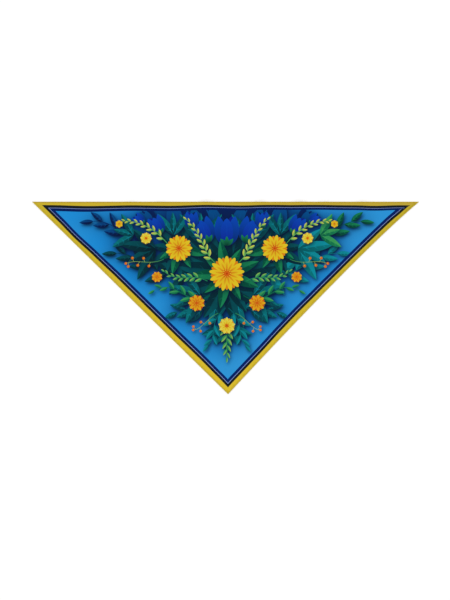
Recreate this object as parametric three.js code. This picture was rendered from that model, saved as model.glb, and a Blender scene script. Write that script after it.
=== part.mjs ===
// A triangular neckerchief: half a square of light printed cloth with its three edges turned
// into a slim rolled hem. It lies on a table as it would by itself, flat but for the soft
// ripples that run in from its long edge.
//
// Millimetres. +X runs along the long edge, the point is towards -Y, and the table is Z = 0.
// The origin is on the table, in the middle of the cloth's length and depth.

import * as THREE from 'three';

// The outline.
const LONG_EDGE = 920; // tip to tip
const DEPTH = 457.3; // from the long edge to the point
const POINT_SHIFT = 5.9; // the point lies this far right of the long edge's middle
const RIGHT_BOW = 7.8; // the right leg pulls in by this, where it is furthest from straight

// The cloth and its hem.
const CLOTH_WALL = 1;
const HEM_WIDTH = 3.2;
const HEM_HEIGHT = 2.4;
const SEAM_GAP = 0.3; // between the cloth and a hem, and between two hems at a tip
const HEM_EASE = 16; // the cloth comes down from the hem to the table over this width

// The soft ripples along the long edge.
const RIPPLE_HEIGHT = 3.2;
const RIPPLE_WIDTH = 58;
const RIPPLE_REACH = 130;

// How finely the curved cloth is cut into flat faces.
const RIPPLE_PITCH = 10;
const FLAT_PITCH = 38;
const LEG_PITCH = 45;
const FLAT_ROWS = 7; // rows of points between the ripples' reach and the point

const COLOURS = { cloth: 0x1c7fc4, hem: 0xc9a72b };

// Each ripple: where it starts, as a share of the long edge from the left tip, its height,
// width and reach as shares of the sizes above, and how far it leans right for each
// millimetre that it runs in.
const RIPPLES = [
  { at: 0.257, height: 0.55, width: 0.95, reach: 0.62, lean: 0.25 },
  { at: 0.335, height: 0.35, width: 0.8, reach: 0.45, lean: -0.15 },
  { at: 0.45, height: 1, width: 1, reach: 1, lean: 0.3 },
  { at: 0.588, height: 0.8, width: 0.9, reach: 0.8, lean: -0.35 },
  { at: 0.69, height: 0.95, width: 0.85, reach: 0.7, lean: 0.2 },
  { at: 0.756, height: 0.5, width: 0.8, reach: 0.5, lean: -0.1 },
  { at: 0.853, height: 0.7, width: 0.9, reach: 0.42, lean: -0.3 },
];

// The hem's rolled section: a plump outer edge that flattens towards the cloth. Each point is
// a share of the hem's width in from the outer edge, and of its height up from the table.
const HEM_SECTION = [
  { across: 0, up: 0.46 },
  { across: 0.06, up: 0.17 },
  { across: 0.22, up: 0 },
  { across: 0.6, up: 0 },
  { across: 0.86, up: 0.07 },
  { across: 1, up: 0.28 },
  { across: 1, up: 0.72 },
  { across: 0.78, up: 0.9 },
  { across: 0.46, up: 1 },
  { across: 0.22, up: 0.95 },
  { across: 0.06, up: 0.76 },
];

// Where the cloth has points beside a hem, as shares of the easing width.
const EASE_STEPS = [0, 0.25, 0.5, 0.75, 1];

// Where the cloth has rows of points along the ripples, as shares of their reach.
const REACH_STEPS = [0.22, 0.34, 0.48, 0.63, 0.8, 1];

const CORNERS = {
  left: new THREE.Vector2(-LONG_EDGE / 2, DEPTH / 2),
  point: new THREE.Vector2(POINT_SHIFT, -DEPTH / 2),
  right: new THREE.Vector2(LONG_EDGE / 2, DEPTH / 2),
};

// The edges run anticlockwise, so that the cloth is on their left. bowAt is how far along the
// edge the bow's control point stands.
const EDGES = {
  left: { from: 'left', to: 'point', bow: 0, bowAt: 0.5, pitch: LEG_PITCH },
  right: { from: 'point', to: 'right', bow: RIGHT_BOW, bowAt: 0.74, pitch: LEG_PITCH },
  top: { from: 'right', to: 'left', bow: 0, bowAt: 0.5, pitch: RIPPLE_PITCH },
};

/** A bump that is 1 at 0 and eases down to 0 at 1 and -1, and stays 0 beyond. */
function bump(q) {
  return Math.abs(q) < 1 ? Math.cos((q * Math.PI) / 2) ** 2 : 0;
}

/** How high the ripples lift the cloth off the table at a point of the plan. */
function rippleLift(x, y) {
  const inward = DEPTH / 2 - y;
  return RIPPLES.reduce((lift, ripple) => {
    const middle = (ripple.at - 0.5) * LONG_EDGE + ripple.lean * inward;
    const across = (x - middle) / ((ripple.width * RIPPLE_WIDTH) / 2);
    const along = inward / (ripple.reach * RIPPLE_REACH);
    return lift + ripple.height * RIPPLE_HEIGHT * bump(across) * bump(along);
  }, 0);
}

/** Unit directions away from a corner, along the edge that leaves it and the one that arrives. */
function cornerDirections(name) {
  const edges = Object.values(EDGES);
  const next = edges.find(({ from }) => from === name).to;
  const previous = edges.find(({ to }) => to === name).from;
  const towards = (other) => CORNERS[other].clone().sub(CORNERS[name]).normalize();
  return { leaving: towards(next), arriving: towards(previous) };
}

/** The sine of half a corner's angle. */
function halfAngleSine(name) {
  const { leaving, arriving } = cornerDirections(name);
  return Math.sqrt((1 - leaving.dot(arriving)) / 2);
}

/** A corner of the outline after all three edges have moved in by the inset. */
function insetCorner(name, inset) {
  const { leaving, arriving } = cornerDirections(name);
  const inwards = leaving.add(arriving).normalize();
  return CORNERS[name].clone().addScaledVector(inwards, inset / halfAngleSine(name));
}

/** One edge of the outline as a curve, moved in by the inset. */
function edgeCurve(edge, inset) {
  const start = insetCorner(edge.from, inset);
  const end = insetCorner(edge.to, inset);
  const chord = end.clone().sub(start);
  const inwards = new THREE.Vector2(-chord.y, chord.x).normalize();
  const control = start
    .clone()
    .addScaledVector(chord, edge.bowAt)
    .addScaledVector(inwards, 2 * edge.bow);
  return new THREE.QuadraticBezierCurve(start, control, end);
}

/** A closed body from its points and its faces, each a list of three places in the points. */
function bodyOf(points, faces) {
  const geometry = new THREE.BufferGeometry().setFromPoints(points);
  geometry.setIndex(faces.flat());
  geometry.computeVertexNormals();
  return geometry;
}

/** The hem of one edge: the rolled section carried along it, mitred at both tips. */
function hemGeometry(edge) {
  const outer = edgeCurve(edge, 0);
  const inner = edgeCurve(edge, HEM_WIDTH);
  const length = outer.getLength();
  const start = SEAM_GAP / 2 / halfAngleSine(edge.from) / length;
  const end = 1 - SEAM_GAP / 2 / halfAngleSine(edge.to) / length;
  const stations = Math.ceil(length / edge.pitch);
  const sides = HEM_SECTION.length;

  const points = [];
  for (let i = 0; i <= stations; i += 1) {
    const share = THREE.MathUtils.lerp(start, end, i / stations);
    const outside = outer.getPointAt(share);
    const inside = inner.getPointAt(share);
    const middle = outside.clone().lerp(inside, 0.5);
    const lift = rippleLift(middle.x, middle.y);
    for (const { across, up } of HEM_SECTION) {
      const at = outside.clone().lerp(inside, across);
      points.push(new THREE.Vector3(at.x, at.y, lift + up * HEM_HEIGHT));
    }
  }

  const faces = [];
  for (let i = 0; i < stations; i += 1) {
    for (let k = 0; k < sides; k += 1) {
      const here = i * sides + k;
      const next = i * sides + ((k + 1) % sides);
      faces.push([here, next + sides, here + sides], [here, next, next + sides]);
    }
  }
  const last = stations * sides;
  for (let k = 1; k < sides - 1; k += 1) {
    faces.push([0, k + 1, k], [last, last + k, last + k + 1]);
  }
  return bodyOf(points, faces);
}

/** Where the cloth's rows of points are, as shares of a leg from the long edge to the point. */
function rowPlaces(depth) {
  const eased = EASE_STEPS.map((step) => step * HEM_EASE);
  const rippled = REACH_STEPS.map((step) => step * RIPPLE_REACH);
  const last = rippled.at(-1);
  const flat = Array.from(
    { length: FLAT_ROWS },
    (_, i) => last + ((depth - last) * (i + 1)) / (FLAT_ROWS + 1),
  );
  const distances = [...eased, ...rippled, ...flat].sort((a, b) => a - b);
  return [...distances.map((distance) => distance / depth), 1];
}

/** How far along a row its points lie, as shares of its width. */
function rowShares(width, pitch) {
  const skew = 1 / Math.sin(Math.atan2(DEPTH, LONG_EDGE / 2));
  const beside = EASE_STEPS.map((step) => (step * HEM_EASE * skew) / width).filter(
    (share) => share < 0.5,
  );
  const first = beside.at(-1);
  const between = 1 - 2 * first;
  const count = Math.max(1, Math.round((between * width) / pitch));
  const middle = Array.from({ length: count - 1 }, (_, i) => first + (between * (i + 1)) / count);
  return [...beside, ...middle, ...beside.map((share) => 1 - share).reverse()];
}

/** How far a point of the plan is in from the nearest edge of the cloth. */
function distanceIn(point, curves) {
  return Math.min(
    ...curves.map((curve) => {
      const chord = curve.v2.clone().sub(curve.v0);
      const inwards = new THREE.Vector2(-chord.y, chord.x).normalize();
      const fromStart = point.clone().sub(curve.v0);
      const share = THREE.MathUtils.clamp(fromStart.dot(chord) / chord.lengthSq(), 0, 1);
      return fromStart.dot(inwards) - curve.getPointAt(share).sub(curve.v0).dot(inwards);
    }),
  );
}

/** Faces between two rows of points that both run left to right, the first further from the point. */
function facesBetween(upper, lower) {
  const faces = [];
  let i = 0;
  let j = 0;
  while (i < upper.length - 1 || j < lower.length - 1) {
    const upperNext = i < upper.length - 1 ? upper[i + 1].share : Infinity;
    const lowerNext = j < lower.length - 1 ? lower[j + 1].share : Infinity;
    if (upperNext <= lowerNext) {
      faces.push([upper[i].index, lower[j].index, upper[i + 1].index]);
      i += 1;
    } else {
      faces.push([upper[i].index, lower[j].index, lower[j + 1].index]);
      j += 1;
    }
  }
  return faces;
}

/** The cloth: a wall of even thickness that lies on the table, lifted at its hems and ripples. */
function clothGeometry() {
  const inset = HEM_WIDTH + SEAM_GAP;
  const curves = Object.values(EDGES).map((edge) => edgeCurve(edge, inset));
  const [leftLeg, rightLeg] = curves;
  const hemLift = (HEM_HEIGHT - CLOTH_WALL) / 2;

  const depth = leftLeg.v0.y - leftLeg.v2.y;

  const undersides = [];
  const rows = rowPlaces(depth).map((down) => {
    const start = leftLeg.getPointAt(down);
    const end = rightLeg.getPointAt(1 - down);
    const pitch = down * depth < RIPPLE_REACH ? RIPPLE_PITCH : FLAT_PITCH;
    const shares = down === 1 ? [0] : rowShares(start.distanceTo(end), pitch);
    return shares.map((share) => {
      const at = start.clone().lerp(end, share);
      const eased = bump(Math.max(0, distanceIn(at, curves)) / HEM_EASE);
      undersides.push(new THREE.Vector3(at.x, at.y, rippleLift(at.x, at.y) + hemLift * eased));
      return { share, index: undersides.length - 1 };
    });
  });

  const under = undersides.length;
  const points = [
    ...undersides.map((p) => p.clone().setZ(p.z + CLOTH_WALL)),
    ...undersides,
  ];
  const top = rows.slice(1).flatMap((row, i) => facesBetween(rows[i], row));
  const bottom = top.map(([a, b, c]) => [a + under, c + under, b + under]);

  const rim = [
    ...rows.slice(0, -1).map((row) => row[0].index),
    ...rows.slice(1).reverse().map((row) => row.at(-1).index),
    ...rows[0].slice(1).reverse().map(({ index }) => index),
  ];
  const wall = rim.flatMap((a, i) => {
    const b = rim[(i + 1) % rim.length];
    return [
      [a, a + under, b + under],
      [a, b + under, b],
    ];
  });
  return bodyOf(points, [...top, ...bottom, ...wall]);
}

/** A named mesh in its own colour. */
function piece(name, geometry, color, roughness) {
  const material = new THREE.MeshStandardMaterial({ color, roughness, metalness: 0 });
  const mesh = new THREE.Mesh(geometry, material);
  mesh.name = name;
  return mesh;
}

const neckerchief = new THREE.Group();
neckerchief.name = 'neckerchief';
neckerchief.add(piece('cloth', clothGeometry(), COLOURS.cloth, 0.55));
for (const [name, edge] of Object.entries(EDGES)) {
  neckerchief.add(piece(`hem_${name}`, hemGeometry(edge), COLOURS.hem, 0.6));
}

export default neckerchief;
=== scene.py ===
"""A triangular neckerchief of light printed twill, laid out flat, printed side up.

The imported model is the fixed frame. Around it this script makes the printed cloth, its three
rolled hems and the stitches that hold them, and then the floor, the light and the camera.
Lengths are millimetres in the row's frame, and become metres where a mesh is made. The print
is drawn as outlines, back to front, and the cloth's faces follow them, so that it stays crisp
at any size.
"""

import logging
import math
from collections.abc import Callable, Iterable, Sequence
from dataclasses import dataclass, replace
from enum import Enum
from functools import partial
from typing import Any

import bpy
import numpy as np
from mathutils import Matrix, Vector
from mathutils.geometry import delaunay_2d_cdt
from mathutils.kdtree import KDTree


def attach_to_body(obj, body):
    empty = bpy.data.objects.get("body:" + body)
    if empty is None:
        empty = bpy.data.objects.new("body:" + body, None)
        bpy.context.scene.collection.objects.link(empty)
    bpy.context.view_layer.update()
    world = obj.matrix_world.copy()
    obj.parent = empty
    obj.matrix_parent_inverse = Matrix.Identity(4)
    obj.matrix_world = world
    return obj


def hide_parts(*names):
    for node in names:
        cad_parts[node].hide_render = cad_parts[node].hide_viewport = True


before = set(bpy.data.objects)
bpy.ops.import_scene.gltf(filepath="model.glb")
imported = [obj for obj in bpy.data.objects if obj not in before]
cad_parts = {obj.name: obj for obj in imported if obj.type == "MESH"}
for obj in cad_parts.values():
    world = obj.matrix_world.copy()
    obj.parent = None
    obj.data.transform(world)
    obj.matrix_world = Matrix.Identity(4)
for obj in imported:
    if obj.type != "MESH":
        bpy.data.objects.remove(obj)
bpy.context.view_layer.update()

logger = logging.getLogger("neckerchief")

MM = 0.001
BODY = "root"

Points = np.ndarray


class Slot(Enum):
    """The record's material slots."""

    CLOTH = "cloth"
    HEM = "hem"


class Ink(Enum):
    """The dyes of the print, as they look on the cloth, in 8-bit sRGB."""

    YELLOW_LEFT_TIP = (200, 176, 44)
    YELLOW_POINT = (218, 188, 45)
    YELLOW_RIGHT_TIP = (192, 170, 42)
    YELLOW_TOP_RIGHT = (192, 166, 58)
    YELLOW_TOP_LEFT = (207, 180, 46)
    BORDER_BLACK = (20, 26, 32)
    BORDER_LILAC = (142, 162, 224)
    BORDER_NAVY = (0, 30, 97)
    BORDER_NAVY_TOP = (0, 26, 86)
    HEM_LEG = (197, 173, 50)
    HEM_LEG_PALE = (209, 186, 64)
    # The long edge's hem inks are darker than the legs': painted shade of its rolled edge.
    HEM_TOP_SHADED = (185, 157, 38)
    HEM_TOP_SHADED_PALE = (196, 168, 50)
    THREAD = (205, 180, 74)
    AZURE = (6, 132, 211)
    SKY = (48, 150, 214)
    DEEP_AZURE = (0, 76, 136)
    NIGHT = (1, 33, 90)
    MIDNIGHT = (2, 16, 50)
    COBALT = (8, 28, 138)
    ROYAL = (4, 68, 176)
    INK_TEAL = (0, 30, 40)
    SHADE_TEAL = (0, 50, 60)
    DEEP_TEAL = (0, 80, 88)
    TEAL = (4, 116, 122)
    LAGOON = (10, 140, 158)
    PINE = (0, 46, 42)
    MOSS = (0, 84, 62)
    EMERALD = (24, 128, 80)
    FERN = (66, 158, 84)
    LIME = (146, 180, 82)
    LEMON = (218, 208, 80)
    SUN = (220, 194, 34)
    YOLK = (216, 168, 26)
    AMBER = (216, 132, 20)
    TANGERINE = (200, 80, 14)
    EMBER = (172, 44, 10)

    def linear(self) -> Points:
        """Returns the ink's colour in linear light."""
        return to_linear(self.value)


def to_linear(rgb: Sequence[float]) -> Points:
    """Turns an sRGB colour, from 0 to 255, into linear light by the standard's own formula."""
    share = np.asarray(rgb, float) / 255
    return np.where(share <= 0.04045, share / 12.92, ((share + 0.055) / 1.055) ** 2.4)


def bump(q: Points) -> Points:
    """Eases from 1 at 0 down to 0 at 1 and -1, and stays 0 beyond."""
    return np.where(np.abs(q) < 1, np.cos(np.clip(q, -1, 1) * math.pi / 2) ** 2, 0.0)


def around(steps: int) -> Points:
    """Returns evenly spaced angles, once around from 0."""
    return np.linspace(0, 2 * math.pi, steps, endpoint=False)


# Shapes of the cloth


@dataclass(frozen=True)
class Edge:
    """One edge of the cloth. The edges run anticlockwise, with the cloth on their left."""

    name: str
    start: str
    end: str
    bow: float = 0.0
    bow_at: float = 0.5

    def along(self, t: Points) -> Points:
        """Turns places on the edge's curve, from 0 to 1, into shares of its chord's length."""
        return 2 * t * (1 - t) * self.bow_at + t * t


Inset = Callable[[Points], Points]


@dataclass(frozen=True)
class Outline:
    """The cloth's outline: half a square, with a slightly shifted point and a bowed right leg."""

    long_edge: float = 920.0
    depth: float = 457.3
    point_shift: float = 5.9
    right_bow: float = 7.8
    right_bow_at: float = 0.74
    samples: int = 185
    corner_clearance: float = 1.0

    @property
    def corners(self) -> dict[str, Points]:
        """Returns the three corners by name."""
        half = self.long_edge / 2
        return {
            "left": np.array([-half, self.depth / 2]),
            "point": np.array([self.point_shift, -self.depth / 2]),
            "right": np.array([half, self.depth / 2]),
        }

    @property
    def edges(self) -> tuple[Edge, Edge, Edge]:
        """Returns the left leg, the right leg and the long edge."""
        return (
            Edge("left", "left", "point"),
            Edge("right", "point", "right", bow=self.right_bow, bow_at=self.right_bow_at),
            Edge("top", "right", "left"),
        )

    def directions(self, edge: Edge) -> tuple[Points, Points]:
        """Finds an edge's unit directions.

        Args:
            edge: The edge.

        Returns:
            The directions along it and into the cloth.
        """
        chord = self.corners[edge.end] - self.corners[edge.start]
        along = chord / np.linalg.norm(chord)
        return along, np.array([-along[1], along[0]])

    def corner(self, name: str, insets: dict[str, Inset]) -> Points:
        """Finds a corner after its two edges have moved in.

        Args:
            name: The corner.
            insets: How far each edge has moved in, at each share of its length.

        Returns:
            The moved corner.
        """
        normals = []
        levels = []
        for edge in self.edges:
            if name in (edge.start, edge.end):
                _, inwards = self.directions(edge)
                share = np.array([0.0 if edge.start == name else 1.0])
                normals.append(inwards)
                levels.append(inwards @ self.corners[name] + insets[edge.name](share)[0])
        return np.linalg.solve(np.array(normals), np.array(levels))

    def curve(self, edge: Edge, shares: Points, inset: float | Points = 0.0) -> Points:
        """Places points along an edge.

        Args:
            edge: The edge.
            shares: Where they are, from 0 at its start to 1 at its end.
            inset: How far they are in from it.

        Returns:
            The points.
        """
        start = self.corners[edge.start]
        chord = self.corners[edge.end] - start
        _, inwards = self.directions(edge)
        t = np.asarray(shares, float)[:, None]
        bowed = 4 * t * (1 - t) * edge.bow
        inward = np.broadcast_to(inset, (len(t),))[:, None]
        return start + chord * edge.along(t) + inwards * (bowed + inward)

    def line(self, edge: Edge, insets: dict[str, Inset]) -> Points:
        """Draws a line beside an edge, from mitre to mitre.

        Args:
            edge: The edge.
            insets: How far each edge's line is in from it, at each share of its length.

        Returns:
            The line's points.
        """
        along, _ = self.directions(edge)
        first = self.corner(edge.start, insets)
        last = self.corner(edge.end, insets)
        shares = np.linspace(0, 1, self.samples)
        points = self.curve(edge, shares, insets[edge.name](edge.along(shares)))
        travel = points @ along
        least = first @ along + self.corner_clearance
        most = last @ along - self.corner_clearance
        kept = points[(travel > least) & (travel < most)]
        return np.vstack([first, kept, last])

    def even_insets(self, inset: float) -> dict[str, Inset]:
        """Returns the same inset for every edge, all along it."""
        return {edge.name: lambda shares: np.full(len(shares), inset) for edge in self.edges}

    def loop(self, inset: float) -> Points:
        """Draws the whole outline anticlockwise, with every edge moved in by the inset."""
        insets = self.even_insets(inset)
        return np.vstack([self.line(edge, insets)[:-1] for edge in self.edges])

    def distance_in(self, points: Points) -> Points:
        """Measures how far points are in from the nearest edge.

        Args:
            points: Points of the plan.

        Returns:
            Their distances, below zero outside the cloth.
        """
        distances = []
        shares = np.linspace(0, 1, self.samples)
        for edge in self.edges:
            along, inwards = self.directions(edge)
            curve = self.curve(edge, shares)
            level = np.interp(points @ along, curve @ along, curve @ inwards)
            distances.append(points @ inwards - level)
        return np.min(distances, axis=0)


@dataclass(frozen=True)
class Ripple:
    """A soft ripple that runs in from the long edge. Its sizes are shares of the lay's own."""

    at: float
    height: float
    width: float
    reach: float
    lean: float


@dataclass(frozen=True)
class Lay:
    """How the cloth lies: on the floor, but for its ripples and the rise to its hems."""

    outline: Outline
    ripple_height: float = 3.2
    ripple_width: float = 58.0
    ripple_reach: float = 130.0
    hem_width: float = 3.2
    hem_height: float = 2.4
    hem_ease: float = 16.0
    wall: float = 0.4
    unevenness: float = 0.16
    ripples: tuple[Ripple, ...] = (
        Ripple(at=0.257, height=0.55, width=0.95, reach=0.62, lean=0.25),
        Ripple(at=0.335, height=0.35, width=0.8, reach=0.45, lean=-0.15),
        Ripple(at=0.45, height=1.0, width=1.0, reach=1.0, lean=0.3),
        Ripple(at=0.588, height=0.8, width=0.9, reach=0.8, lean=-0.35),
        Ripple(at=0.69, height=0.95, width=0.85, reach=0.7, lean=0.2),
        Ripple(at=0.756, height=0.5, width=0.8, reach=0.5, lean=-0.1),
        Ripple(at=0.853, height=0.7, width=0.9, reach=0.42, lean=-0.3),
    )

    def ripple_lift(self, points: Points) -> Points:
        """Works out how high the ripples lift the cloth.

        Args:
            points: Points of the plan.

        Returns:
            The lift at each of them.
        """
        inward = self.outline.depth / 2 - points[:, 1]
        lift = np.zeros(len(points))
        for ripple in self.ripples:
            middle = (ripple.at - 0.5) * self.outline.long_edge + ripple.lean * inward
            across = (points[:, 0] - middle) / (ripple.width * self.ripple_width / 2)
            along = inward / (ripple.reach * self.ripple_reach)
            lift += ripple.height * self.ripple_height * bump(across) * bump(along)
        return lift

    def underside(self, points: Points) -> Points:
        """Works out the height of the cloth's underside.

        Args:
            points: Points of the plan.

        Returns:
            The height at each of them.
        """
        x, y = points.T
        # Slow waves, their lengths in millimetres chosen so that they don't repeat.
        waves = np.sin(x / 31 + y / 47) * np.sin(y / 29 - x / 61) + np.sin(x / 83 - y / 37 + 1.1)
        rise = (self.hem_height - self.wall) / 2
        eased = bump(np.maximum(0, self.outline.distance_in(points)) / self.hem_ease)
        return self.ripple_lift(points) + rise * eased + self.unevenness * (1 + waves / 2)


# The print

TINY = 1e-9

# How finely a leaf or petal is drawn: a step for each stretch of its length, and a few more.
BLADE_PITCH = 5.0
BLADE_EXTRA = 5
BLADE_STEPS = (6, 22)


@dataclass(frozen=True)
class Shape:
    """A printed shape, dyed from one ink at its foot to another at the end of its reach."""

    outline: Points
    near: Ink
    far: Ink
    foot: Points
    reach: Points
    radial: bool = False
    level: int = -1

    def mirrored(self, axis: float) -> "Shape":
        """Mirrors the shape.

        Args:
            axis: The mirror line's place along X.

        Returns:
            The mirrored shape.
        """
        flip = np.array([-1.0, 1.0])
        shift = np.array([2 * axis, 0.0])
        return replace(
            self,
            outline=(self.outline * flip + shift)[::-1],
            foot=self.foot * flip + shift,
            reach=self.reach * flip,
        )


def almond(length: float, width: float, fullest: float, bluntness: float, steps: int) -> Points:
    """Draws the half widths of a leaf or petal that lies along +X.

    Args:
        length: From its foot to its tip.
        width: Across its fullest place.
        fullest: Where that is, as a share of its length.
        bluntness: 0 for a sharp tip, 1 for a round one.
        steps: How many points there are from foot to tip.

    Returns:
        The points' places along it and their half widths.
    """
    share = 0.5 - 0.5 * np.cos(np.linspace(0, math.pi, steps))
    power = 2 - bluntness
    rise, fall = power * fullest, power * (1 - fullest)
    full = share**rise * (1 - share) ** fall
    peak = fullest**rise * (1 - fullest) ** fall
    return np.column_stack([share * length, width / 2 * full / peak])


def placed(outline: Points, at: Sequence[float], turn: float, bend: float = 0.0) -> Points:
    """Bends, turns and moves an outline that was drawn along +X from its foot.

    Args:
        outline: The outline's points.
        at: Where its foot goes.
        turn: Its direction, in degrees anticlockwise from +X.
        bend: How far its tip bends to the left, as a share of its length.

    Returns:
        The moved points.
    """
    x, y = outline.T
    y = y + bend * x * x / max(x.max(), TINY)
    c, s = math.cos(math.radians(turn)), math.sin(math.radians(turn))
    return np.column_stack([x * c - y * s, x * s + y * c]) + np.asarray(at, float)


def blade(
    at: Sequence[float],
    turn: float,
    length: float,
    width: float,
    near: Ink,
    far: Ink,
    fullest: float = 0.45,
    bluntness: float = 0.3,
    bend: float = 0.0,
    sides: tuple[float, float] = (1.0, 1.0),
) -> Shape:
    """Draws one leaf, petal or streak.

    Args:
        at: Its foot.
        turn: Its direction, in degrees.
        length: From foot to tip.
        width: Across its fullest place.
        near: The ink at its foot.
        far: The ink at its tip.
        fullest: Where it is widest, as a share of its length.
        bluntness: 0 for a sharp tip, 1 for a round one.
        bend: How far its tip bends to the left, as a share of its length.
        sides: How much of the half width stands on its left and on its right.

    Returns:
        The shape.
    """
    steps = int(np.clip(length / BLADE_PITCH + BLADE_EXTRA, *BLADE_STEPS))
    half = almond(length, width, fullest, bluntness, steps)
    left, right = sides
    upper = half * [1, left]
    lower = (half * [1, -right])[::-1]
    ring = np.vstack([lower, upper[1:-1]])
    tip = placed(np.array([[length, 0.0]]), at, turn, bend)[0]
    foot = np.asarray(at, float)
    return Shape(placed(ring, at, turn, bend), near, far, foot, tip - foot)


def disc(at: Sequence[float], radius: float, near: Ink, far: Ink, steps: int = 14) -> Shape:
    """Draws a round spot.

    Args:
        at: Its middle.
        radius: Its radius.
        near: The ink in its middle.
        far: The ink at its rim.
        steps: How many sides it has.

    Returns:
        The shape.
    """
    angles = around(steps)
    middle = np.asarray(at, float)
    ring = middle + radius * np.column_stack([np.cos(angles), np.sin(angles)])
    return Shape(ring, near, far, middle, np.array([radius, 0.0]), radial=True)


def headings(path: Points) -> tuple[Points, Points]:
    """Finds a path's unit directions.

    Args:
        path: Its points.

    Returns:
        The directions along it and to its left.
    """
    slope = np.gradient(path, axis=0)
    slope /= np.linalg.norm(slope, axis=1, keepdims=True)
    return slope, np.column_stack([-slope[:, 1], slope[:, 0]])


def stroke(path: Points, start_width: float, end_width: float, near: Ink, far: Ink) -> Shape:
    """Draws a tapered line.

    Args:
        path: The line's middle.
        start_width: Its width at the first point.
        end_width: Its width at the last point.
        near: The ink at its start.
        far: The ink at its end.

    Returns:
        The shape.
    """
    _, side = headings(path)
    half = np.linspace(start_width, end_width, len(path))[:, None] / 2
    ring = np.vstack([path - side * half, (path + side * half)[::-1]])
    return Shape(ring, near, far, path[0], path[-1] - path[0])


def bezier(controls: Sequence[tuple[float, float]], steps: int) -> Points:
    """Draws a cubic curve.

    Args:
        controls: Its four control points.
        steps: How many points it has.

    Returns:
        The points.
    """
    a, b, c, d = (np.asarray(point, float) for point in controls)
    t = np.linspace(0, 1, steps)[:, None]
    u = 1 - t
    return u**3 * a + 3 * u * u * t * b + 3 * u * t * t * c + t**3 * d


class Motif:
    """Something that the print shows, made of shapes stacked back to front."""

    def shapes(self) -> list[Shape]:
        """Returns the motif's shapes, back to front."""
        raise NotImplementedError


@dataclass(frozen=True)
class Foliage:
    """The inks and the form of a kind of leaf."""

    shaded: Ink
    lit: Ink
    tip: Ink
    vein: Ink
    bluntness: float = 0.3
    veins: int = 3


class Leafage(Enum):
    """The kinds of leaf in the print."""

    SHADOW = Foliage(Ink.MIDNIGHT, Ink.NIGHT, Ink.DEEP_AZURE, Ink.DEEP_AZURE)
    DUSK = Foliage(Ink.INK_TEAL, Ink.SHADE_TEAL, Ink.DEEP_TEAL, Ink.DEEP_TEAL)
    DEEP = Foliage(Ink.SHADE_TEAL, Ink.DEEP_TEAL, Ink.TEAL, Ink.LAGOON)
    LAGOON = Foliage(Ink.DEEP_TEAL, Ink.TEAL, Ink.LAGOON, Ink.LAGOON)
    PINE = Foliage(Ink.PINE, Ink.MOSS, Ink.EMERALD, Ink.EMERALD)
    GREEN = Foliage(Ink.MOSS, Ink.EMERALD, Ink.FERN, Ink.FERN)
    BRIGHT = Foliage(Ink.EMERALD, Ink.FERN, Ink.LIME, Ink.LIME, veins=0)
    LIME = Foliage(Ink.FERN, Ink.LIME, Ink.LEMON, Ink.LEMON, bluntness=0.7, veins=0)


@dataclass(frozen=True)
class Leaf(Motif):
    """A leaf with a shaded half, a lit half and veins."""

    at: Sequence[float]
    turn: float
    length: float
    width: float
    kind: Leafage
    bend: float = 0.0
    least_veined: float = 34.0
    first_vein: float = 0.2
    vein_stretch: float = 0.48
    vein_reach: float = 0.62
    vein_taper: float = 0.3
    vein_angle: float = 38.0
    vein_width: float = 1.1
    midrib_reach: float = 0.86
    midrib_width: float = 0.08

    def side_veins(self, look: Foliage) -> list[Shape]:
        """Draws the veins that branch off the middle one.

        Args:
            look: The leaf's inks and form.

        Returns:
            The side veins, none on a small leaf.
        """
        drawn = []
        for k in range(look.veins if self.length > self.least_veined else 0):
            share = self.first_vein + self.vein_stretch * k / max(1, look.veins - 1)
            place = np.array([[self.length * share, self.bend * self.length * share**2]])
            foot = placed(place, self.at, self.turn)[0]
            heading = self.turn + math.degrees(math.atan(2 * self.bend * share))
            reach = self.width * (self.vein_reach - self.vein_taper * share)
            for side, ink in ((1, look.tip), (-1, look.lit)):
                size = (heading + side * self.vein_angle, reach, self.vein_width)
                drawn.append(blade(foot, *size, look.vein, ink))
        return drawn

    def shapes(self) -> list[Shape]:
        """Returns the two halves and the veins."""
        look: Foliage = self.kind.value
        form = {"bluntness": look.bluntness, "bend": self.bend}
        whole = (self.at, self.turn, self.length, self.width)
        drawn = [
            blade(*whole, look.shaded, look.lit, sides=(0.0, 1.0), **form),
            blade(*whole, look.lit, look.tip, sides=(1.0, 0.0), **form),
        ]
        if look.veins:
            size = (self.length * self.midrib_reach, self.width * self.midrib_width)
            bend = self.bend * self.midrib_reach
            drawn += self.side_veins(look)
            drawn.append(blade(self.at, self.turn, *size, look.vein, look.lit, bend=bend))
        return drawn


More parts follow.
